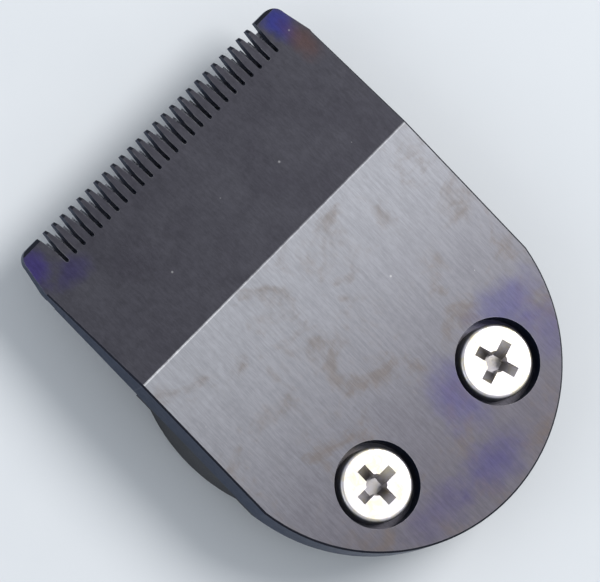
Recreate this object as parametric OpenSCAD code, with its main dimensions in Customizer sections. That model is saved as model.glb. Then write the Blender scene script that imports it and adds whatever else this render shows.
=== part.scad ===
// Clip-on trimmer blade head, outer face up.
// Origin at the centre of the round base's seat face. +Z points out of the plate, +Y to the teeth.

/* [Fixed blade] */
// Width of the plate
blade_w = 32; // [30:0.5:36]
// Length from tooth tips to the rear of the plate
blade_len = 42.7; // [41:0.1:46]
// Thickness of the flat rear part
plate_t = 3.1; // [2.8:0.05:3.6]
// Thickness of the wedge at the tooth tips
tip_t = 0.85; // [0.6:0.05:1.2]
// Length of the sloped front, from the bend to the tips
slope_len = 14.5; // [13.5:0.1:16]
// How far the radius of the rear arc exceeds half the width
rear_margin = 0.2; // [0.1:0.05:3]
// Distance of the tooth tips from the centre of the base
tip_reach = 22.2; // [21:0.1:23]
// Width of the chamfer round the outer face
edge_chamfer = 0.16; // [0.05:0.01:0.3]

/* [Teeth] */
// Number of narrow teeth between the two corner teeth
tooth_count = 25; // [21:2:25]
// Distance from one tooth to the next
pitch = 1.016; // [0.98:0.004:1.03]
// Depth of the slots between the teeth
slot_depth = 3.07; // [2.6:0.01:3.4]
// Width of a slot at its root
slot_w = 0.34; // [0.28:0.01:0.42]
// Width of a slot at the tooth tips
mouth_w = 0.78; // [0.7:0.01:0.86]
// Length over which the slots narrow
mouth_len = 2; // [1.6:0.05:2.2]
// Radius of the plate's front corners
corner_r = 1.1; // [0.6:0.05:1.6]
// How far the sides draw in at the corner teeth
corner_draw = 0.5; // [0.2:0.05:0.8]
// Length over which the sides draw in
corner_len = 3.6; // [3:0.1:5]

/* [Moving blade] */
// Thickness of the moving blade
cutter_t = 1.3; // [1.1:0.05:1.4]
// Distance of its tips behind the fixed tips
tip_setback = 0.85; // [0.6:0.05:1.2]
// Distance of its rear edge from the centre of the base
cutter_rear_y = 8.35; // [8:0.05:8.8]
// Thickness at the tips of the moving teeth
cutter_tip_t = 0.45; // [0.3:0.05:0.6]
// Length of the bevel under the moving teeth
cutter_bevel = 3.6; // [3:0.1:4]
// Depth of the slots between the moving teeth
cutter_slot_depth = 2.3; // [2:0.05:2.6]
// Width of a moving tooth at its tip
cutter_tip_w = 0.3; // [0.2:0.02:0.4]
// Travel to each side of the middle
travel = 0.8; // [0.5:0.05:1]

/* [Guide strip] */
// Width of the strip, front to back
guide_w = 2; // [1.6:0.1:2.2]
// Length of the strip, side to side
guide_len = 22; // [18:0.5:24]
// Thickness of the strip
guide_t = 1.4; // [1.2:0.05:1.6]
// Depth of its groove in the fixed blade
guide_seat = 0.9; // [0.7:0.05:1]
// Distance of its middle behind the fixed tips
guide_back = 7.2; // [6.6:0.1:7.6]

/* [Screws] */
// Distance between the two screws
screw_span = 14.76; // [14:0.02:16]
// Distance of the screws behind the tooth tips
screw_back = 34; // [33.5:0.1:34.5]
// Diameter of a screw head
head_d = 6.3; // [5.8:0.05:6.6]
// Height of a screw head
head_h = 1.9; // [1.6:0.05:2]
// Rounding of the rim of a screw head
head_round = 0.32; // [0.1:0.02:0.5]
// Diameter of the counterbores
counterbore_d = 7.4; // [7:0.05:7.8]
// Depth of the screw heads below the face
head_sink = 0.22; // [0.1:0.01:0.4]
// Thread diameter of the screws
screw_d = 3.5; // [3:0.1:3.6]
// Length of a screw below its head
screw_len = 3.8; // [3.4:0.05:3.9]
// Size of the cross recess from tip to tip
recess_d = 3.8; // [3.2:0.05:4.2]
// Width of a wing of the recess
recess_w = 0.9; // [0.7:0.02:1.1]
// Depth of the recess
recess_h = 1.45; // [1:0.05:1.6]
// Turn of the right-hand screw
right_turn = 17; // [0:1:90]
// Turn of the left-hand screw
left_turn = 0; // [0:1:90]

/* [Threaded inserts] */
// Outer diameter of an insert
insert_d = 5.2; // [4.8:0.05:5.6]
// Length of an insert
insert_len = 2.8; // [2.4:0.05:2.9]
// Width of the groove round an insert
insert_groove = 0.6; // [0.4:0.05:0.8]

/* [Base] */
// Height of the base from its seat to the plate
base_h = 5.4; // [5.2:0.05:6]
// Wall between the round outside and the hollow
rim_wall = 3.4; // [3.2:0.1:4]
// Height of the round spigot below the rear flange, and of the low front wall
spigot_h = 2.3; // [2:0.05:2.35]
// Distance of the spigot's wall inside the round outside above it
spigot_step = 0.25; // [0.1:0.05:0.35]
// Chamfer at the foot of the spigot
foot_chamfer = 0.7; // [0.3:0.05:0.8]
// Distance of the flange inside the plate's outline
flange_inset = 0.7; // [0.5:0.05:1]
// Front edge of the full-height part, from the centre
shoulder_y = 7; // [6.6:0.1:7.2]
// Radius of the pads that hold the inserts
boss_r = 3.7; // [3.5:0.05:4]
// Radius of the two locating pegs
peg_r = 0.9; // [0.7:0.05:1]
// Height of the two locating pegs
peg_h = 0.9; // [0.6:0.05:1.2]
// Wall between a locating peg and the hollow
peg_wall = 0.4; // [0.3:0.05:0.6]
// Width of the catch slot under the flange
catch_w = 6; // [4:0.5:8]
// Length of the catch slot, front to back
catch_len = 1.2; // [0.8:0.1:1.6]
// Depth of the catch slot
catch_depth = 1; // [0.6:0.1:1.4]
// Distance of the catch slot behind the round outside
catch_back = 1.1; // [0.8:0.1:1.4]
// Number of moulding pockets under the rim
pocket_count = 9; // [6:1:10]
// Width of a moulding pocket, across the rim
pocket_w = 1.2; // [0.8:0.1:1.3]
// Depth of the moulding pockets
pocket_depth = 1.5; // [1:0.1:1.6]
// Thickness of the ribs between the pockets
rib_t = 1.1; // [0.8:0.1:1.6]

/* [Drive yoke] */
// Thickness of the yoke's plate
yoke_t = 1.3; // [1.1:0.05:1.4]
// Width of the fork
fork_w = 7.6; // [7:0.1:8.4]
// Length of the fork behind the cutter
fork_len = 9; // [8:0.1:10]
// Width of the slot for the eccentric pin
drive_slot_w = 3.2; // [2.6:0.1:3.6]
// Length of the slot for the eccentric pin
drive_slot_len = 6.2; // [5:0.1:7]
// Height of the fork's foot above the seat
fork_foot = 0.8; // [0.6:0.05:1.2]
// Distance between the two pegs of the yoke
yoke_peg_span = 9; // [8:0.2:10]
// Radius of the pegs of the yoke
yoke_peg_r = 1.05; // [0.8:0.05:1.2]

/* [Spring] */
// Wire diameter
wire_d = 0.7; // [0.5:0.02:0.8]
// Mean radius of the coils
coil_r = 1.7; // [1.55:0.05:1.8]
// Turns in each coil
coil_turns = 3; // [2:1:3]
// Pitch of the turns
coil_pitch = 0.8; // [0.72:0.02:0.82]
// Length of a post beyond its coil
post_over = 0.3; // [0.1:0.05:0.5]
// Length of the spring's free legs
leg_len = 4.6; // [4:0.1:5]
// Width of the spring's bridge between its bends
bridge_w = 12; // [11:0.2:12.4]

/* [Clearances] */
// Running clearance between the sliding blades
slide_gap = 0.02; // [0.01:0.01:0.05]
// Clearance of each side of the guide strip in the moving blade
guide_gap = 0.04; // [0.02:0.01:0.08]
// Fit clearance between pieces that are fastened together
fit_gap = 0.02; // [0.01:0.01:0.05]
// Clearance of the moving yoke and cutter from the base
run_gap = 0.5; // [0.3:0.05:0.6]
// Gap between the spring's bridge and the yoke
bridge_gap = 0.08; // [0.04:0.02:0.12]

/* [Hidden] */
$fn = 96;

cut = 0.5;
half_w = blade_w / 2;
rear_r = half_w + rear_margin;
face_z = base_h + plate_t;
bend_y = tip_reach - slope_len;
rear_y = tip_reach - blade_len;
rear_c = rear_y + rear_r;
base_r = half_w;
spigot_r = base_r - spigot_step;
cavity_r = base_r - rim_wall;
peg_x = cavity_r + peg_wall + peg_r;
slope_a = atan((plate_t - tip_t) / slope_len);
gap_count = tooth_count + 1;

screw_x = screw_span / 2;
screw_y = tip_reach - screw_back;
head_seat_z = face_z - head_sink - head_h;
shaft_hole_r = screw_d / 2 + 0.15;

guide_y = tip_reach - guide_back;
guide_drop = guide_t - guide_seat;

cutter_w = gap_count * pitch;
cutter_top = base_h - slide_gap;
cutter_bottom = cutter_top - cutter_t;
cutter_tip_y = tip_reach - tip_setback;

yoke_front = guide_y - guide_w / 2 - run_gap;
yoke_peg_y = (yoke_front + cutter_rear_y) / 2;
yoke_bottom = cutter_bottom - yoke_t;
yoke_rear = cutter_rear_y - fork_len;
slot_front = yoke_rear + drive_slot_len;

coil_z = base_h / 2 - 0.1;
coil_y = 0.4;
wire_r = wire_d / 2;
post_r = coil_r - wire_r - 0.12;
post_root_x = sqrt(cavity_r * cavity_r - coil_y * coil_y) - 0.2;
coil_out_x = post_root_x - 1.4;
coil_in_x = coil_out_x - coil_turns * coil_pitch;
bridge_x = bridge_w / 2;
bridge_y = sqrt(pow(cavity_r - 0.3 - wire_r, 2) - bridge_x * bridge_x);
bridge_z = yoke_bottom - bridge_gap - wire_r;
yoke_w = 2 * (coil_in_x - wire_r - post_over - travel - run_gap);

// Square with one corner taken off by a quarter circle, for rounding an outside corner
module corner_bite(r) {
    difference() {
        square(r + cut);
        circle(r);
    }
}

// Outline of the plate, tips at the top, drawn in by d all round
module plate_outline(d = 0) {
    corner_x = half_w - corner_draw - d;
    difference() {
        union() {
            intersection() {
                translate([0, rear_c]) circle(rear_r - d);
                translate([-half_w + d, rear_y - cut]) square([blade_w - 2 * d, rear_r + cut]);
            }
            polygon([
                [-half_w + d, rear_c], [half_w - d, rear_c],
                [half_w - d, tip_reach - corner_len],
                [corner_x, tip_reach - corner_r], [corner_x, tip_reach - d],
                [-corner_x, tip_reach - d], [-corner_x, tip_reach - corner_r],
                [-half_w + d, tip_reach - corner_len]
            ]);
        }
        for (side = [0, 1])
            mirror([side, 0])
                translate([corner_x - corner_r, tip_reach - d - corner_r]) corner_bite(corner_r);
    }
}

// One slot between teeth, root at the bottom, mouth at y = 0
module tooth_slot(depth, root_w, open_w, narrowing) {
    translate([0, -depth + root_w / 2]) circle(d = root_w, $fn = 24);
    polygon([
        [-root_w / 2, -depth + root_w / 2], [root_w / 2, -depth + root_w / 2],
        [root_w / 2, -narrowing], [0.36 * open_w, -0.45 * narrowing], [open_w / 2, 0],
        [open_w / 2, cut], [-open_w / 2, cut], [-open_w / 2, 0],
        [-0.36 * open_w, -0.45 * narrowing], [-root_w / 2, -narrowing]
    ]);
}

// Side profile of the plate, extruded across the width
module plate_profile() {
    blunt = 0.3;
    rotate([90, 0, 90])
        translate([0, 0, -half_w - cut])
            linear_extrude(blade_w + 2 * cut)
                polygon([
                    [rear_y - cut, base_h], [tip_reach, base_h],
                    [tip_reach, base_h + tip_t * 0.6], [tip_reach - blunt, base_h + tip_t],
                    [bend_y, face_z], [rear_y - cut, face_z]
                ]);
}

// Chamfers along the rear arc, the sides and the sloped sides of the outer face
module plate_chamfers() {
    c = edge_chamfer;
    side_start = rear_c - sqrt(rear_r * rear_r - half_w * half_w) - cut;
    intersection() {
        translate([0, rear_c, face_z])
            rotate_extrude($fn = 180)
                polygon([[rear_r - c, 0], [rear_r - c, cut], [rear_r + cut, cut], [rear_r + cut, -c], [rear_r, -c]]);
        translate([-blade_w, rear_y - cut, 0]) cube([2 * blade_w, rear_r + cut, 2 * face_z]);
    }
    for (side = [0, 1])
        mirror([side, 0, 0]) {
            translate([half_w, 0, face_z])
                rotate([90, 0, 0])
                    translate([0, 0, -bend_y])
                        linear_extrude(bend_y - side_start)
                            polygon([[-c, 0], [0, -c], [cut, -c], [cut, cut], [-c, cut]]);
            translate([half_w, bend_y, face_z])
                rotate([-slope_a, 0, 0])
                    rotate([90, 0, 0])
                        translate([0, 0, -slope_len + corner_len])
                            linear_extrude(slope_len - corner_len)
                                polygon([[-c, 0], [0, -c], [cut, -c], [cut, cut], [-c, cut]]);
        }
}

// Cuts in the inner face: hollow between the lands, guide groove, blind holes for the pegs
module plate_underside() {
    land = 1.1;
    hollow_front = tip_reach - slot_depth - land;
    hollow_rear = guide_y + guide_w / 2 + land;
    translate([-half_w - cut, hollow_rear, base_h - cut])
        cube([blade_w + 2 * cut, max(0.4, hollow_front - hollow_rear), cut + 0.15]);
    translate([-guide_len / 2 - fit_gap, guide_y - guide_w / 2 - fit_gap, base_h - cut])
        cube([guide_len + 2 * fit_gap, guide_w + 2 * fit_gap, guide_seat + cut]);
    for (side = [-1, 1])
        translate([side * peg_x, 0, base_h - cut])
            cylinder(r = peg_r + fit_gap, h = peg_h + 0.2 + cut, $fn = 32);
}

module fixed_blade() {
    color([0.36, 0.36, 0.38])
    difference() {
        intersection() {
            translate([0, 0, base_h - cut]) linear_extrude(plate_t + 2 * cut) plate_outline();
            plate_profile();
        }
        for (i = [0 : gap_count - 1])
            translate([(i - (gap_count - 1) / 2) * pitch, tip_reach, base_h - cut])
                linear_extrude(plate_t)
                    tooth_slot(slot_depth, slot_w, mouth_w, mouth_len);
        for (x = [-screw_x, screw_x])
            translate([x, screw_y, 0]) {
                translate([0, 0, head_seat_z]) cylinder(d = counterbore_d, h = plate_t);
                translate([0, 0, base_h - cut]) cylinder(r = shaft_hole_r, h = plate_t + cut, $fn = 48);
            }
        plate_underside();
        plate_chamfers();
    }
}

module moving_blade() {
    slots = gap_count - 1;
    open_w = pitch - cutter_tip_w;
    color([0.75, 0.75, 0.77])
    difference() {
        intersection() {
            translate([-cutter_w / 2, cutter_rear_y, cutter_bottom - cut])
                cube([cutter_w, cutter_tip_y - cutter_rear_y, cutter_t + 2 * cut]);
            rotate([90, 0, 90])
                translate([0, 0, -cutter_w / 2])
                    linear_extrude(cutter_w)
                        polygon([
                            [cutter_rear_y, cutter_bottom], [cutter_tip_y - cutter_bevel, cutter_bottom],
                            [cutter_tip_y, cutter_top - cutter_tip_t], [cutter_tip_y, cutter_top],
                            [cutter_rear_y, cutter_top]
                        ]);
        }
        for (i = [0 : slots - 1])
            translate([(i - (slots - 1) / 2) * pitch, cutter_tip_y, cutter_bottom - cut])
                linear_extrude(cutter_t + 2 * cut)
                    tooth_slot(cutter_slot_depth, slot_w + 0.02, open_w, cutter_slot_depth * 0.8);
        translate([-cutter_w / 2 - cut, guide_y - guide_w / 2 - guide_gap, base_h - guide_drop - 0.1])
            cube([cutter_w + 2 * cut, guide_w + 2 * guide_gap, guide_drop + cut]);
        for (x = [-1, 1])
            translate([x * yoke_peg_span / 2, yoke_peg_y, cutter_bottom - cut])
                cylinder(r = yoke_peg_r + fit_gap, h = cutter_t + 2 * cut, $fn = 48);
        for (side = [0, 1])
            mirror([side, 0, 0])
                translate([cutter_w / 2, cutter_rear_y, cutter_bottom - cut])
                    rotate([0, 0, 45])
                        cube([2, 2, 2 * (cutter_t + 2 * cut)], center = true);
    }
}

module guide_strip() {
    color([0.82, 0.8, 0.74])
    translate([-guide_len / 2, guide_y - guide_w / 2, base_h - guide_drop])
        cube([guide_len, guide_w, guide_t]);
}

module drive_yoke() {
    plate_len = yoke_front - cutter_rear_y;
    rear_top = base_h - run_gap;
    color([0.16, 0.16, 0.17])
    difference() {
        union() {
            translate([-yoke_w / 2, cutter_rear_y - 1.4, yoke_bottom])
                cube([yoke_w, plate_len + 1.4, yoke_t]);
            translate([-yoke_w / 2, cutter_rear_y - 1.4, yoke_bottom])
                cube([yoke_w, 1.4 - fit_gap, rear_top - yoke_bottom]);
            translate([-fork_w / 2, yoke_rear + fork_w / 4, fork_foot])
                cube([fork_w, cutter_rear_y - yoke_rear - fork_w / 4 - fit_gap, rear_top - fork_foot]);
            for (x = [-1, 1])
                translate([x * fork_w / 4, yoke_rear + fork_w / 4, fork_foot])
                    cylinder(r = fork_w / 4, h = rear_top - fork_foot, $fn = 48);
            for (x = [-1, 1])
                translate([x * yoke_peg_span / 2, yoke_peg_y, cutter_bottom - cut])
                    cylinder(r = yoke_peg_r, h = cut + cutter_t - 0.2, $fn = 48);
        }
        translate([0, slot_front - drive_slot_w / 2, 0]) cylinder(d = drive_slot_w, h = base_h, $fn = 48);
        translate([-drive_slot_w / 2, yoke_rear - cut, 0])
            cube([drive_slot_w, drive_slot_len + cut - drive_slot_w / 2, base_h]);
    }
}

// Centre line of half the spring: outer leg, coil, inner leg to the middle of the bridge
coil_steps = 16;
wire_sides = 8;
coil_points = [
    for (i = [0 : coil_turns * coil_steps])
        let (a = -90 + 360 * i / coil_steps)
        [coil_out_x - coil_pitch * i / coil_steps, coil_y + coil_r * cos(a), coil_z + coil_r * sin(a)]
];
leg_start = [coil_out_x, coil_y - leg_len, coil_z - coil_r];
leg_end = [bridge_x + 0.75, bridge_y - 1.1, bridge_z - 0.1];
half_wire = concat(
    [leg_start],
    coil_points,
    [leg_end, [bridge_x + 0.55, bridge_y - 0.45, bridge_z], [bridge_x, bridge_y, bridge_z]]
);
mirrored_wire = [for (i = [len(half_wire) - 1 : -1 : 0]) [-half_wire[i].x, half_wire[i].y, half_wire[i].z]];
wire_path = concat(half_wire, mirrored_wire);

function unit(v) = v / norm(v);
function along(p, i) = unit(p[min(i + 1, len(p) - 1)] - p[max(i - 1, 0)]);
function flattened(v, t) = unit(v - (v * t) * t);
// A normal at each point, carried along the wire so that the tube doesn't twist
wire_normals = [
    for (i = 0, n = flattened([1, 0, 0.2], along(wire_path, 0)); i < len(wire_path);
        i = i + 1, n = i < len(wire_path) ? flattened(n, along(wire_path, i)) : n) n
];

module tension_spring() {
    rings = [
        for (i = [0 : len(wire_path) - 1], k = [0 : wire_sides - 1])
            let (n = wire_normals[i], b = cross(along(wire_path, i), n), a = 360 * k / wire_sides)
            wire_path[i] + wire_r * (cos(a) * n + sin(a) * b)
    ];
    last = len(wire_path) - 1;
    walls = [
        for (i = [0 : last - 1], k = [0 : wire_sides - 1])
            let (k2 = (k + 1) % wire_sides)
            [i * wire_sides + k, (i + 1) * wire_sides + k, (i + 1) * wire_sides + k2, i * wire_sides + k2]
    ];
    start_cap = [[for (k = [0 : wire_sides - 1]) k]];
    end_cap = [[for (k = [wire_sides - 1 : -1 : 0]) last * wire_sides + k]];
    color([0.7, 0.7, 0.72]) polyhedron(points = rings, faces = concat(walls, start_cap, end_cap));
}

// Plan of the rear flange, inside the plate's outline
module flange_plan() {
    intersection() {
        plate_outline(flange_inset);
        translate([-blade_w, rear_y - cut]) square([2 * blade_w, shoulder_y - rear_y + cut]);
    }
}

// Plan of the hollow, with the pads for the inserts left standing
module cavity_plan() {
    difference() {
        circle(cavity_r);
        for (x = [-screw_x, screw_x])
            translate([x, screw_y]) circle(boss_r);
    }
}

// Pockets that keep the rim's wall even, round the front and sides
module rim_pockets() {
    pocket_mid = (spigot_r - foot_chamfer + cavity_r) / 2;
    first = -32;
    step = (180 - 2 * first) / pocket_count;
    for (i = [0 : pocket_count - 1])
        rotate([0, 0, first + (i + 0.5) * step])
            intersection() {
                translate([0, 0, -cut])
                    difference() {
                        cylinder(r = pocket_mid + pocket_w / 2, h = pocket_depth + cut, $fn = 120);
                        translate([0, 0, -cut])
                            cylinder(r = pocket_mid - pocket_w / 2, h = pocket_depth + 3 * cut, $fn = 120);
                    }
                reach = base_r * tan(step / 2);
                linear_extrude(4 * base_h, center = true)
                    polygon([
                        [0, 0], [base_r, -reach + rib_t / 2],
                        [base_r, reach - rib_t / 2]
                    ]);
            }
}

// Tab over the free leg of the spring, which the wire presses against
module leg_tab() {
    tab_w = 1.4;
    tab_h = 1.2;
    tab_over = 0.3;
    tab_x = coil_out_x - wire_r - tab_over;
    tab_z = coil_z - coil_r + wire_r + fit_gap;
    intersection() {
        translate([tab_x, coil_y - leg_len, tab_z]) cube([cavity_r + cut - tab_x, tab_w, tab_h]);
        cylinder(r = cavity_r + cut, h = base_h);
    }
}

module base() {
    color([0.07, 0.07, 0.08])
    union() {
        difference() {
            union() {
                cylinder(r1 = spigot_r - foot_chamfer, r2 = spigot_r, h = foot_chamfer, $fn = 180);
                translate([0, 0, foot_chamfer])
                    cylinder(r = spigot_r, h = base_h - foot_chamfer, $fn = 180);
                translate([0, 0, spigot_h]) cylinder(r = base_r, h = base_h - spigot_h, $fn = 180);
                translate([0, 0, spigot_h]) linear_extrude(base_h - spigot_h) flange_plan();
            }
            translate([0, 0, -cut]) linear_extrude(base_h + 2 * cut) cavity_plan();
            translate([-blade_w, shoulder_y, spigot_h]) cube([2 * blade_w, blade_w, base_h]);
            for (x = [-screw_x, screw_x])
                translate([x, screw_y, 0]) {
                    translate([0, 0, base_h - insert_len])
                        cylinder(d = insert_d + 2 * fit_gap, h = insert_len + cut);
                    translate([0, 0, head_seat_z - screw_len - fit_gap])
                        cylinder(d = screw_d + 2 * fit_gap, h = base_h, $fn = 48);
                }
            translate([-catch_w / 2, -base_r - catch_back - catch_len, spigot_h - cut])
                cube([catch_w, catch_len, catch_depth + cut]);
            rim_pockets();
        }
        for (side = [0, 1])
            mirror([side, 0, 0]) {
                translate([peg_x, 0, base_h - cut]) cylinder(r = peg_r, h = peg_h + cut, $fn = 32);
                translate([post_root_x + 0.6, coil_y, coil_z])
                    rotate([0, -90, 0])
                        cylinder(r = post_r, h = post_root_x + 0.6 - coil_in_x + wire_r + post_over, $fn = 32);
                leg_tab();
            }
    }
}

// Cross recess: two tapered bars and a cone in the middle
module cross_recess() {
    half = recess_d / 2;
    foot = recess_w * 0.75;
    for (turn = [0, 90])
        rotate([90, 0, turn])
            translate([0, 0, -recess_w / 2])
                linear_extrude(recess_w)
                    polygon([[-half, cut], [-half, 0], [-foot, -recess_h], [foot, -recess_h], [half, 0], [half, cut]]);
    translate([0, 0, -recess_h]) cylinder(r1 = recess_w * 0.4, r2 = recess_w * 1.02, h = recess_h + 0.01, $fn = 32);
}

module screw(turn) {
    head_r = head_d / 2;
    top_z = head_seat_z + head_h;
    tip_z = head_seat_z - screw_len;
    point = 0.4;
    difference() {
        union() {
            translate([0, 0, head_seat_z])
                rotate_extrude()
                    union() {
                        square([head_r - head_round, head_h]);
                        square([head_r, head_h - head_round]);
                        translate([head_r - head_round, head_h - head_round]) circle(head_round, $fn = 32);
                    }
            translate([0, 0, tip_z + point]) cylinder(d = screw_d, h = screw_len - point + 0.1, $fn = 48);
            translate([0, 0, tip_z]) cylinder(d1 = screw_d - 2 * point, d2 = screw_d, h = point, $fn = 48);
        }
        translate([0, 0, top_z]) rotate([0, 0, turn]) cross_recess();
    }
}

module screw_left() {
    color([0.78, 0.77, 0.76]) translate([-screw_x, screw_y, 0]) screw(left_turn);
}

module screw_right() {
    color([0.78, 0.77, 0.76]) translate([screw_x, screw_y, 0]) screw(right_turn);
}

module insert() {
    groove_r = insert_d / 2 - 0.35;
    translate([0, 0, base_h - insert_len])
        difference() {
            cylinder(d = insert_d, h = insert_len - fit_gap);
            translate([0, 0, -cut]) cylinder(d = screw_d + 2 * fit_gap, h = insert_len + 2 * cut, $fn = 48);
            translate([0, 0, (insert_len - insert_groove) / 2])
                difference() {
                    cylinder(d = insert_d + cut, h = insert_groove);
                    translate([0, 0, -cut]) cylinder(r = groove_r, h = insert_groove + 2 * cut);
                }
        }
}

module insert_left() {
    color([0.8, 0.64, 0.32]) translate([-screw_x, screw_y, 0]) insert();
}

module insert_right() {
    color([0.8, 0.64, 0.32]) translate([screw_x, screw_y, 0]) insert();
}

fixed_blade();
moving_blade();
guide_strip();
drive_yoke();
tension_spring();
base();
screw_left();
screw_right();
insert_left();
insert_right();
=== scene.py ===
import bpy
import math
import random
from mathutils import Matrix, Vector

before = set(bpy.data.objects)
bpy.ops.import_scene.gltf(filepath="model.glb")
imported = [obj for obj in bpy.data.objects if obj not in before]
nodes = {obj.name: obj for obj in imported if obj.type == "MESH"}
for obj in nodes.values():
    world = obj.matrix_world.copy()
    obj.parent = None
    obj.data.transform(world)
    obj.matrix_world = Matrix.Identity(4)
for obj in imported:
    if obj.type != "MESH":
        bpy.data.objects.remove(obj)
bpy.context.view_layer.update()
print("loaded the head:", len(nodes), "nodes")


# node helpers: a value may be a socket, a number or a list of numbers

def addNode(tree, kind, **settings):
    made = tree.nodes.new("ShaderNode" + kind)
    for name, value in settings.items():
        setattr(made, name, value)
    return made


def feed(tree, socket, value):
    if isinstance(value, bpy.types.NodeSocket):
        tree.links.new(value, socket)
    elif value is not None:
        socket.default_value = value


def calc(tree, operation, *values, clamp=False):
    made = addNode(tree, "Math", operation=operation, use_clamp=clamp)
    for socket, value in zip(made.inputs, values):
        feed(tree, socket, value)
    return made.outputs[0]


def vectorCalc(tree, operation, *values):
    made = addNode(tree, "VectorMath", operation=operation)
    for socket, value in zip(made.inputs, values):
        feed(tree, socket, value)
    return made.outputs["Value"] if operation in ("LENGTH", "DOT_PRODUCT", "DISTANCE") else made.outputs["Vector"]


def ease(tree, value, low, high, toLow=0.0, toHigh=1.0):
    made = addNode(tree, "MapRange", interpolation_type="SMOOTHSTEP")
    for name, given in (("Value", value), ("From Min", low), ("From Max", high), ("To Min", toLow), ("To Max", toHigh)):
        feed(tree, made.inputs[name], given)
    return made.outputs["Result"]


def blendColor(tree, amount, first, second, mode="MIX"):
    made = addNode(tree, "Mix", data_type="RGBA", blend_type=mode, clamp_factor=True)
    feed(tree, made.inputs[0], amount)
    feed(tree, made.inputs[6], first)
    feed(tree, made.inputs[7], second)
    return made.outputs[2]


def noise(tree, place, scale, detail=3.0, roughness=0.55, distortion=0.0):
    made = addNode(tree, "TexNoise")
    feed(tree, made.inputs["Vector"], place)
    feed(tree, made.inputs["Scale"], scale)
    feed(tree, made.inputs["Detail"], detail)
    feed(tree, made.inputs["Roughness"], roughness)
    feed(tree, made.inputs["Distortion"], distortion)
    return made.outputs["Fac"]


def stretched(tree, place, factors):
    return vectorCalc(tree, "MULTIPLY", place, factors)


def rgb(red, green, blue):
    def toLinear(part):
        part = part / 255
        return part / 12.92 if part <= 0.04045 else ((part + 0.055) / 1.055) ** 2.4
    return (toLinear(red), toLinear(green), toLinear(blue), 1.0)


def newGroup(name, inputs, outputs):
    tree = bpy.data.node_groups.new(name, "ShaderNodeTree")
    for label, kind, start in inputs:
        socket = tree.interface.new_socket(name=label, in_out="INPUT", socket_type="NodeSocket" + kind)
        if start is not None:
            socket.default_value = start
    for label, kind in outputs:
        tree.interface.new_socket(name=label, in_out="OUTPUT", socket_type="NodeSocket" + kind)
    return tree, tree.nodes.new("NodeGroupInput").outputs, tree.nodes.new("NodeGroupOutput").inputs


def useGroup(tree, group, **values):
    made = tree.nodes.new("ShaderNodeGroup")
    made.node_tree = group
    for name, value in values.items():
        feed(tree, made.inputs[name], value)
    return made.outputs


# effects that several finishes share; every length in them is in millimetres

def makeGrindLines():
    tree, given, out = newGroup(
        "grindLines",
        [("Place", "Vector", None), ("Stretch", "Vector", (1, 0.06, 1)), ("Scale", "Float", 9.0)],
        [("Lines", "Float"), ("Height", "Float")])
    drawn = vectorCalc(tree, "MULTIPLY", given["Place"], given["Stretch"])
    broad = noise(tree, drawn, given["Scale"], 3.0, 0.6)
    fine = noise(tree, drawn, calc(tree, "MULTIPLY", given["Scale"], 4.0), 2.0, 0.5)
    grit = noise(tree, given["Place"], 14.0, 3.0, 0.65)
    lines = calc(tree, "ADD", calc(tree, "MULTIPLY", broad, 0.6), calc(tree, "MULTIPLY", fine, 0.4))
    feed(tree, out["Lines"], ease(tree, lines, 0.36, 0.64))
    feed(tree, out["Height"], calc(tree, "ADD", calc(tree, "MULTIPLY", lines, 0.6), calc(tree, "MULTIPLY", grit, 0.4)))
    return tree


def makeEdgeWear():
    tree, given, out = newGroup(
        "edgeWear",
        [("Place", "Vector", None), ("Width", "Float", 0.12), ("Breakup", "Float", 0.5), ("Grain", "Float", 2.2)],
        [("Mask", "Float")])
    rounded = addNode(tree, "Bevel", samples=6)
    feed(tree, rounded.inputs["Radius"], calc(tree, "MULTIPLY", given["Width"], 0.001))
    surface = addNode(tree, "NewGeometry")
    turn = vectorCalc(tree, "DOT_PRODUCT", rounded.outputs["Normal"], surface.outputs["Normal"])
    edge = ease(tree, turn, 0.995, 0.90)
    patchy = ease(tree, noise(tree, given["Place"], given["Grain"], 4.0, 0.7), 0.42, 0.62)
    kept = calc(tree, "SUBTRACT", 1.0, calc(tree, "MULTIPLY", given["Breakup"], calc(tree, "SUBTRACT", 1.0, patchy)))
    feed(tree, out["Mask"], calc(tree, "MULTIPLY", edge, kept, clamp=True))
    return tree


def makeSoftSpot():
    tree, given, out = newGroup(
        "softSpot",
        [("Place", "Vector", None), ("Middle", "Vector", (0, 0, 0)), ("Reach", "Vector", (1, 1, 4)),
         ("Ragged", "Float", 0.5), ("Core", "Float", 0.2), ("Grain", "Float", 0.8)],
        [("Mask", "Float")])
    away = vectorCalc(tree, "SUBTRACT", given["Place"], given["Middle"])
    scaled = vectorCalc(tree, "DIVIDE", away, given["Reach"])
    ragged = calc(tree, "SUBTRACT", noise(tree, given["Place"], given["Grain"], 4.0, 0.6), 0.5)
    reach = calc(tree, "ADD", vectorCalc(tree, "LENGTH", scaled), calc(tree, "MULTIPLY", ragged, given["Ragged"]))
    feed(tree, out["Mask"], ease(tree, reach, 1.0, given["Core"]))
    return tree


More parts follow.
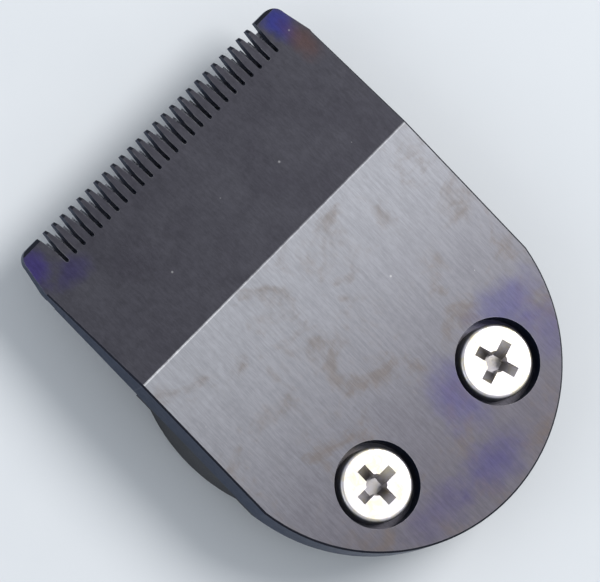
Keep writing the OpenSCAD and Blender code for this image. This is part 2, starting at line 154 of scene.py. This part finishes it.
def makeSpeckle():
    tree, given, out = newGroup(
        "speckle",
        [("Place", "Vector", None), ("Scale", "Float", 1.6), ("Size", "Float", 0.1), ("Share", "Float", 0.35)],
        [("Mask", "Float")])
    cells = addNode(tree, "TexVoronoi", feature="F1")
    feed(tree, cells.inputs["Vector"], given["Place"])
    feed(tree, cells.inputs["Scale"], given["Scale"])
    chance = addNode(tree, "SeparateColor")
    feed(tree, chance.inputs[0], cells.outputs["Color"])
    chosen = calc(tree, "LESS_THAN", chance.outputs[0], given["Share"])
    size = calc(tree, "MULTIPLY", given["Size"], calc(tree, "ADD", 0.35, chance.outputs[1]))
    dot = ease(tree, cells.outputs["Distance"], size, calc(tree, "MULTIPLY", size, 0.4))
    feed(tree, out["Mask"], calc(tree, "MULTIPLY", dot, chosen, clamp=True))
    return tree


def makeMouldGrain():
    tree, given, out = newGroup(
        "mouldGrain",
        [("Place", "Vector", None), ("Scale", "Float", 6.0)],
        [("Tone", "Float"), ("Height", "Float")])
    spark = noise(tree, given["Place"], calc(tree, "MULTIPLY", given["Scale"], 2.0), 2.0, 0.7)
    broad = noise(tree, given["Place"], calc(tree, "MULTIPLY", given["Scale"], 0.12), 3.0, 0.5)
    feed(tree, out["Tone"], ease(tree, broad, 0.3, 0.7))
    feed(tree, out["Height"], spark)
    return tree


grindLines = makeGrindLines()
edgeWear = makeEdgeWear()
softSpot = makeSoftSpot()
speckle = makeSpeckle()
mouldGrain = makeMouldGrain()
print("built the shared effects")


def startFinish(name):
    material = bpy.data.materials.new(name)
    material.use_nodes = True
    tree = material.node_tree
    shader = tree.nodes["Principled BSDF"]
    coords = addNode(tree, "TexCoord")
    place = vectorCalc(tree, "MULTIPLY", coords.outputs["Object"], (1000, 1000, 1000))
    return material, tree, shader, place


def addBump(tree, shader, height, strength, depth):
    bump = addNode(tree, "Bump")
    bump.inputs["Strength"].default_value = strength
    bump.inputs["Distance"].default_value = depth * 0.001
    feed(tree, bump.inputs["Height"], height)
    feed(tree, shader.inputs["Normal"], bump.outputs["Normal"])


def facing(tree):
    surface = addNode(tree, "NewGeometry")
    parts = addNode(tree, "SeparateXYZ")
    feed(tree, parts.inputs[0], surface.outputs["True Normal"])
    return parts.outputs[2]


# the blackened and heat-tinted steel of the fixed blade

plateLook = {
    "bendY": 7.7, "tipY": 22.2, "rearY": -20.5,
    # the two rear colours paint the lamp's reflection on the rear face, bright by the bend and dim towards the rear
    "rearReflectionBright": rgb(124, 126, 132), "rearReflectionDim": rgb(82, 80, 88),
    "slope": rgb(70, 70, 77), "slopeDeep": rgb(50, 49, 57),
    # the wall colour is a painted blue reflection of the table on the steel side walls
    "brown": rgb(86, 76, 68), "wall": rgb(30, 50, 82), "chamfer": rgb(34, 36, 46),
    "underside": rgb(150, 150, 154), "bendLine": rgb(182, 184, 188), "wear": rgb(170, 170, 172),
    "metallic": 0.85, "roughness": 0.42,
}
tintSpots = [
    # middle x, y, reach x, y, colour, strength, core
    (-15.2, 20.6, 2.2, 2.6, rgb(52, 44, 96), 0.85, 0.2),
    (-13.2, 18.4, 2.8, 1.6, rgb(48, 42, 84), 0.6, 0.1),
    (14.6, 20.8, 1.8, 2.4, rgb(40, 44, 112), 0.85, 0.2),
    (14.9, 18.6, 1.4, 3.0, rgb(84, 58, 52), 0.5, 0.1),
    (11.1, -9.2, 5.4, 3.4, rgb(62, 60, 104), 0.6, 0.05),
    (12.6, -13.0, 3.6, 3.6, rgb(62, 58, 100), 0.5, 0.05),
    (2.9, -11.5, 3.8, 4.4, rgb(62, 58, 104), 0.6, 0.05),
    (1.0, -17.4, 5.2, 2.8, rgb(56, 52, 98), 0.6, 0.05),
    (-5.0, -17.0, 5.0, 2.6, rgb(62, 56, 94), 0.45, 0.05),
]


def plateFinish():
    look = plateLook
    material, tree, shader, place = startFinish("tintedSteel")
    parts = addNode(tree, "SeparateXYZ")
    feed(tree, parts.inputs[0], place)
    x, y, z = parts.outputs
    up = facing(tree)
    grind = useGroup(tree, grindLines, Place=place, Scale=5.0)
    clouds = noise(tree, place, 0.22, 5.0, 0.6, 0.6)
    mottle = noise(tree, place, 1.5, 4.0, 0.6)

    # rear face, light by the bend and darker towards the rear: a painted reflection of the lamp laid over the steel's
    # own tone
    reflectionAlong = ease(tree, calc(tree, "ADD", y, calc(tree, "MULTIPLY", clouds, 7.0)), look["rearY"] + 5, look["bendY"] + 5)
    rear = blendColor(tree, reflectionAlong, look["rearReflectionDim"], look["rearReflectionBright"])
    browned = ease(tree, calc(tree, "ADD", clouds, calc(tree, "MULTIPLY", mottle, 0.3)), 0.62, 0.86)
    rear = blendColor(tree, calc(tree, "MULTIPLY", browned, 0.5), rear, look["brown"])
    # the slope is darker than the rear face partly through its own ground finish and partly as painted shade
    slope = blendColor(tree, clouds, look["slopeDeep"], look["slope"])
    onSlope = ease(tree, y, look["bendY"] - 0.03, look["bendY"] + 0.03)
    tone = blendColor(tree, onSlope, rear, slope)

    for middleX, middleY, reachX, reachY, colour, strength, core in tintSpots:
        spot = useGroup(tree, softSpot, Place=place, Middle=(middleX, middleY, 7.5),
                        Reach=(reachX, reachY, 6.0), Ragged=0.9, Core=core, Grain=0.55)
        tone = blendColor(tree, calc(tree, "MULTIPLY", spot["Mask"], strength), tone, colour)

    # thin worn line where the slope begins, brightest at the left
    fromBend = calc(tree, "ABSOLUTE", calc(tree, "SUBTRACT", y, look["bendY"]))
    worn = ease(tree, fromBend, 0.13, 0.03)
    patchy = ease(tree, noise(tree, place, 1.1, 4.0, 0.7), 0.35, 0.65)
    leftward = ease(tree, x, 4.0, -12.0, 0.35, 0.95)
    worn = calc(tree, "MULTIPLY", calc(tree, "MULTIPLY", worn, leftward), calc(tree, "ADD", 0.45, calc(tree, "MULTIPLY", patchy, 0.55)))
    tone = blendColor(tree, worn, tone, look["bendLine"])

    lineTone = calc(tree, "ADD", 0.9, calc(tree, "MULTIPLY", grind["Lines"], 0.2))
    shade = calc(tree, "MULTIPLY", lineTone, calc(tree, "ADD", 0.82, calc(tree, "MULTIPLY", mottle, 0.36)))
    tone = blendColor(tree, 1.0, tone, gray(tree, shade), "MULTIPLY")
    specks = useGroup(tree, speckle, Place=place, Scale=0.55, Size=0.07, Share=0.3)
    tone = blendColor(tree, calc(tree, "MULTIPLY", specks["Mask"], 0.5), tone, look["wear"])

    # walls, chamfers and underside by the way they face
    isTop = ease(tree, up, 0.90, 0.97)
    isWall = ease(tree, calc(tree, "ABSOLUTE", up), 0.35, 0.1)
    isUnder = ease(tree, up, -0.6, -0.9)
    tone = blendColor(tree, isTop, look["chamfer"], tone)
    # side walls get the painted blue reflection, broken up towards the dark chamfer tone
    wall = blendColor(tree, calc(tree, "MULTIPLY", clouds, 0.5), look["wall"], look["chamfer"])
    tone = blendColor(tree, isWall, tone, wall)
    tone = blendColor(tree, isUnder, tone, look["underside"])
    wear = useGroup(tree, edgeWear, Place=place, Width=0.1, Breakup=0.9, Grain=1.3)
    tone = blendColor(tree, calc(tree, "MULTIPLY", wear["Mask"], 0.25), tone, look["wear"])

    feed(tree, shader.inputs["Base Color"], tone)
    shader.inputs["Metallic"].default_value = look["metallic"]
    rough = calc(tree, "ADD", look["roughness"] - 0.08, calc(tree, "MULTIPLY", mottle, 0.16))
    rough = calc(tree, "SUBTRACT", rough, calc(tree, "MULTIPLY", worn, 0.1))
    feed(tree, shader.inputs["Roughness"], rough)
    addBump(tree, shader, grind["Height"], 0.25, 0.02)
    return material


def gray(tree, value):
    made = addNode(tree, "CombineColor")
    for socket in made.inputs[:3]:
        feed(tree, socket, value)
    return made.outputs[0]


screwLook = {
    "plate": rgb(205, 202, 208), "warm": rgb(206, 198, 176), "grime": rgb(60, 58, 62),
    "recess": rgb(120, 118, 122), "roughness": 0.34,
}


def screwFinish():
    look = screwLook
    material, tree, shader, place = startFinish("wornNickel")
    parts = addNode(tree, "SeparateXYZ")
    feed(tree, parts.inputs[0], place)
    clouds = noise(tree, place, 0.9, 4.0, 0.6, 0.8)
    fine = noise(tree, place, 7.0, 3.0, 0.65)
    tone = blendColor(tree, ease(tree, clouds, 0.38, 0.66), look["plate"], look["warm"])
    tone = blendColor(tree, ease(tree, fine, 0.60, 0.80, 0.0, 0.35), tone, look["grime"])
    # painted shade: the screw darkens downwards, into the counterbore
    low = ease(tree, parts.outputs[2], 7.95, 6.9)
    tone = blendColor(tree, calc(tree, "MULTIPLY", low, 0.75), tone, look["recess"])
    wear = useGroup(tree, edgeWear, Place=place, Width=0.14, Breakup=0.6, Grain=2.0)
    tone = blendColor(tree, calc(tree, "MULTIPLY", wear["Mask"], 0.4), tone, rgb(226, 226, 230))
    feed(tree, shader.inputs["Base Color"], tone)
    shader.inputs["Metallic"].default_value = 0.9
    feed(tree, shader.inputs["Roughness"], calc(tree, "ADD", look["roughness"] - 0.1, calc(tree, "MULTIPLY", fine, 0.25)))
    addBump(tree, shader, calc(tree, "ADD", fine, clouds), 0.35, 0.03)
    return material


cutterLook = {"steel": rgb(196, 196, 200), "dark": rgb(140, 140, 146), "oil": rgb(120, 108, 92), "roughness": 0.3}


def cutterFinish():
    look = cutterLook
    material, tree, shader, place = startFinish("groundSteel")
    grind = useGroup(tree, grindLines, Place=place, Stretch=(0.08, 1.0, 1.0), Scale=7.0)
    clouds = noise(tree, place, 0.5, 4.0, 0.6)
    tone = blendColor(tree, grind["Lines"], look["dark"], look["steel"])
    tone = blendColor(tree, ease(tree, clouds, 0.52, 0.78, 0.0, 0.45), tone, look["oil"])
    wear = useGroup(tree, edgeWear, Place=place, Width=0.08, Breakup=0.5, Grain=2.0)
    tone = blendColor(tree, calc(tree, "MULTIPLY", wear["Mask"], 0.5), tone, rgb(228, 228, 230))
    feed(tree, shader.inputs["Base Color"], tone)
    shader.inputs["Metallic"].default_value = 0.95
    feed(tree, shader.inputs["Roughness"], calc(tree, "ADD", look["roughness"] - 0.05, calc(tree, "MULTIPLY", grind["Lines"], 0.12)))
    addBump(tree, shader, grind["Height"], 0.3, 0.02)
    return material


def plasticFinish(name, tone, light, dust, roughness, grainScale, wearAmount):
    material, tree, shader, place = startFinish(name)
    grain = useGroup(tree, mouldGrain, Place=place, Scale=grainScale)
    colour = blendColor(tree, grain["Tone"], tone, light)
    dusty = ease(tree, noise(tree, place, 1.2, 5.0, 0.7), 0.56, 0.80, 0.0, 0.35)
    colour = blendColor(tree, dusty, colour, dust)
    wear = useGroup(tree, edgeWear, Place=place, Width=0.12, Breakup=0.8, Grain=1.6)
    colour = blendColor(tree, calc(tree, "MULTIPLY", wear["Mask"], wearAmount), colour, dust)
    feed(tree, shader.inputs["Base Color"], colour)
    feed(tree, shader.inputs["Roughness"], calc(tree, "ADD", roughness - 0.06, calc(tree, "MULTIPLY", grain["Height"], 0.12)))
    addBump(tree, shader, grain["Height"], 0.3, 0.03)
    return material


def wireFinish():
    material, tree, shader, place = startFinish("springWire")
    streaks = noise(tree, place, 3.0, 4.0, 0.7)
    tone = blendColor(tree, ease(tree, streaks, 0.4, 0.7), rgb(176, 176, 182), rgb(120, 116, 114))
    feed(tree, shader.inputs["Base Color"], tone)
    shader.inputs["Metallic"].default_value = 0.95
    feed(tree, shader.inputs["Roughness"], calc(tree, "ADD", 0.22, calc(tree, "MULTIPLY", streaks, 0.2)))
    addBump(tree, shader, noise(tree, place, 12.0, 2.0, 0.6), 0.2, 0.02)
    return material


def brassFinish():
    material, tree, shader, place = startFinish("turnedBrass")
    turned = useGroup(tree, grindLines, Place=place, Stretch=(0.2, 0.2, 2.0), Scale=6.0)
    tone = blendColor(tree, turned["Lines"], rgb(176, 138, 76), rgb(214, 178, 106))
    tone = blendColor(tree, ease(tree, noise(tree, place, 0.8, 4.0, 0.6), 0.5, 0.8, 0.0, 0.5), tone, rgb(120, 84, 48))
    feed(tree, shader.inputs["Base Color"], tone)
    shader.inputs["Metallic"].default_value = 0.95
    feed(tree, shader.inputs["Roughness"], calc(tree, "ADD", 0.25, calc(tree, "MULTIPLY", turned["Lines"], 0.12)))
    addBump(tree, shader, turned["Height"], 0.3, 0.02)
    return material


def dress(name, material):
    mesh = nodes[name].data
    mesh.materials.clear()
    mesh.materials.append(material)


plate = plateFinish()
nickel = screwFinish()
brass = brassFinish()
dress("fixed_blade", plate)
dress("moving_blade", cutterFinish())
dress("guide_strip", plasticFinish("acetal", rgb(226, 222, 210), rgb(236, 232, 222), rgb(150, 140, 122), 0.38, 5.0, 0.2))
dress("drive_yoke", plasticFinish("yokeNylon", rgb(38, 38, 41), rgb(50, 50, 54), rgb(120, 118, 114), 0.5, 6.0, 0.3))
dress("tension_spring", wireFinish())
dress("base", plasticFinish("baseMoulding", rgb(12, 14, 20), rgb(22, 24, 31), rgb(92, 92, 96), 0.5, 6.0, 0.25))
for side in ("left", "right"):
    dress("screw_" + side, nickel)
    dress("insert_" + side, brass)
print("dressed the nodes")


# floor, camera and lamps

stageLook = {"floor": rgb(214, 218, 222), "halfSide": 1.5, "world": (0.86, 0.90, 0.95, 1.0), "worldStrength": 0.62}


def makeFloor():
    half = stageLook["halfSide"]
    mesh = bpy.data.meshes.new("floor")
    mesh.from_pydata([(-half, -half, 0), (half, -half, 0), (half, half, 0), (-half, half, 0)], [], [(0, 1, 2, 3)])
    floor = bpy.data.objects.new("floor", mesh)
    bpy.context.scene.collection.objects.link(floor)
    floor.location = (0, 0, -0.00003)
    material, tree, shader, place = startFinish("floorPaint")
    faint = noise(tree, place, 0.05, 4.0, 0.6)
    feed(tree, shader.inputs["Base Color"], blendColor(tree, ease(tree, faint, 0.3, 0.7, 0.0, 0.3), stageLook["floor"], rgb(206, 211, 216)))
    shader.inputs["Roughness"].default_value = 0.8
    mesh.materials.append(material)


cameraFit = {
    "right": Vector((0.67654, -0.68877, 0.26055)), "up": Vector((0.68551, 0.71830, 0.11884)),
    "back": Vector((-0.26901, 0.09821, 0.95812)), "pivot": Vector((0, 0.0010, 0.0085)),
    "distance": 0.700, "lens": 509.5, "leftBy": 0.002559, "upBy": 0.0016905,
}


def makeCamera():
    fit = cameraFit
    data = bpy.data.cameras.new("camera")
    data.sensor_width = 36
    data.sensor_fit = "HORIZONTAL"
    data.lens = fit["lens"]
    data.clip_start = 0.01
    camera = bpy.data.objects.new("camera", data)
    bpy.context.scene.collection.objects.link(camera)
    spot = fit["pivot"] + fit["back"] * fit["distance"] - fit["right"] * fit["leftBy"] + fit["up"] * fit["upBy"]
    turn = Matrix((fit["right"], fit["up"], fit["back"])).transposed()
    camera.matrix_world = Matrix.Translation(spot) @ turn.to_4x4()
    bpy.context.scene.camera = camera


def makeLamp(name, direction, distance, size, power, colour):
    data = bpy.data.lights.new(name, "AREA")
    data.shape = "DISK"
    data.size = size
    data.energy = power
    data.color = colour
    lamp = bpy.data.objects.new(name, data)
    bpy.context.scene.collection.objects.link(lamp)
    lamp.location = Vector(direction).normalized() * distance
    lamp.rotation_euler = Vector(direction).to_track_quat("Z", "Y").to_euler()


def makeLight():
    world = bpy.data.worlds.new("softRoom")
    bpy.context.scene.world = world
    world.use_nodes = True
    background = world.node_tree.nodes["Background"]
    background.inputs["Color"].default_value = stageLook["world"]
    background.inputs["Strength"].default_value = stageLook["worldStrength"]
    fit = cameraFit
    makeLamp("keyLamp", fit["right"] * 0.8 + fit["up"] * 0.5 + fit["back"] * 0.7, 0.6, 0.35, 2.6, (1.0, 0.98, 0.96))
    makeLamp("fillLamp", fit["right"] * -0.6 - fit["up"] * 0.2 + fit["back"] * 0.9, 0.7, 0.5, 0.8, (0.92, 0.96, 1.0))


makeFloor()
makeCamera()
makeLight()
bpy.context.scene.view_settings.view_transform = "Standard"
print("set the stage, camera and lamps")
